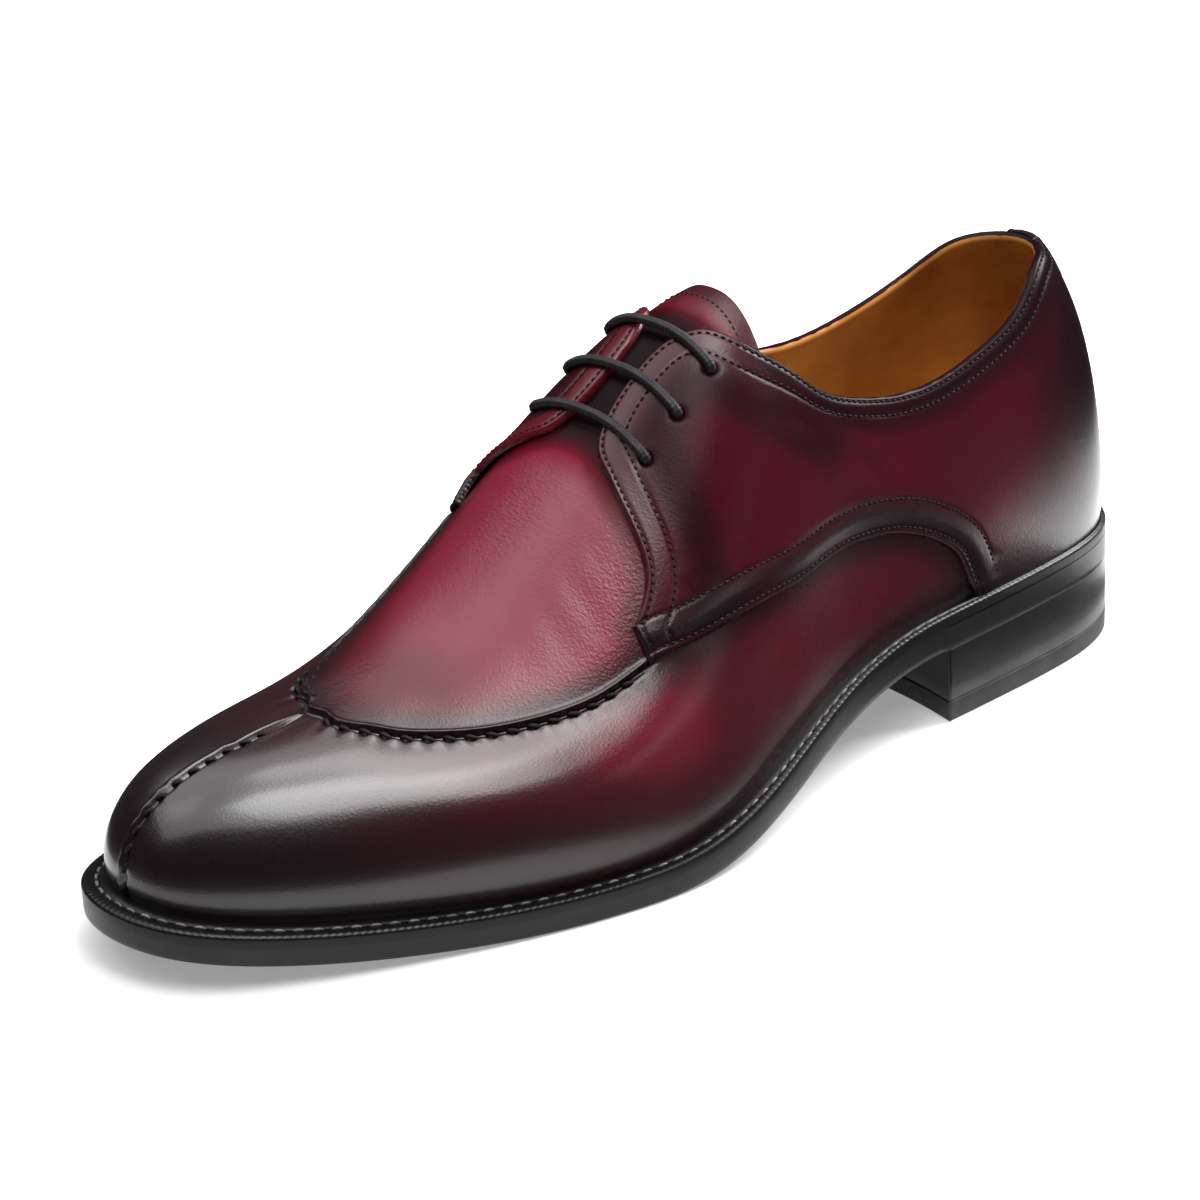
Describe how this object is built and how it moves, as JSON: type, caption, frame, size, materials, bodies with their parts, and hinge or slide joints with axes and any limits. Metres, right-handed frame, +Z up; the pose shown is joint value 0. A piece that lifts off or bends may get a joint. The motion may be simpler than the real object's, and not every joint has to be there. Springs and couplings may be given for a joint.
{
  "type": "apron toe derby shoe",
  "caption": "Left lace-up dress shoe with a hand-sewn apron and split toe, open quarters over the vamp, welted leather sole and low heel.",
  "frame": {"origin": "centre of the bounding box at the floor the shoe stands on", "axes": "+X towards the toe, +Y towards the wearer's left (lateral side of this left shoe), +Z up"},
  "size_m": [0.298, 0.1046, 0.1166],
  "materials": {
    "burnished_calf": "hand-dyed burgundy calf, burnished dark at toe, heel and seams, waxed gloss",
    "tongue_calf": "burgundy calf, waxed",
    "insole_leather": "tan vegetable leather, matt",
    "welt_leather": "black welt leather, satin",
    "sole_leather": "sole leather with inked black edge, satin",
    "stacked_leather": "stacked lifts inked black, satin",
    "top_piece_rubber": "hard black rubber, matt",
    "waxed_lace": "round waxed cotton lace, charcoal"
  },
  "bodies": {
    "root": {"upper": "burnished_calf", "tongue": "tongue_calf", "insole": "insole_leather", "welt": "welt_leather", "outsole": "sole_leather", "heel_stack": "stacked_leather", "heel_top_piece": "top_piece_rubber", "lace_bar_1": "waxed_lace", "lace_bar_2": "waxed_lace", "lace_bar_3": "waxed_lace"}
  },
  "joints": []
}
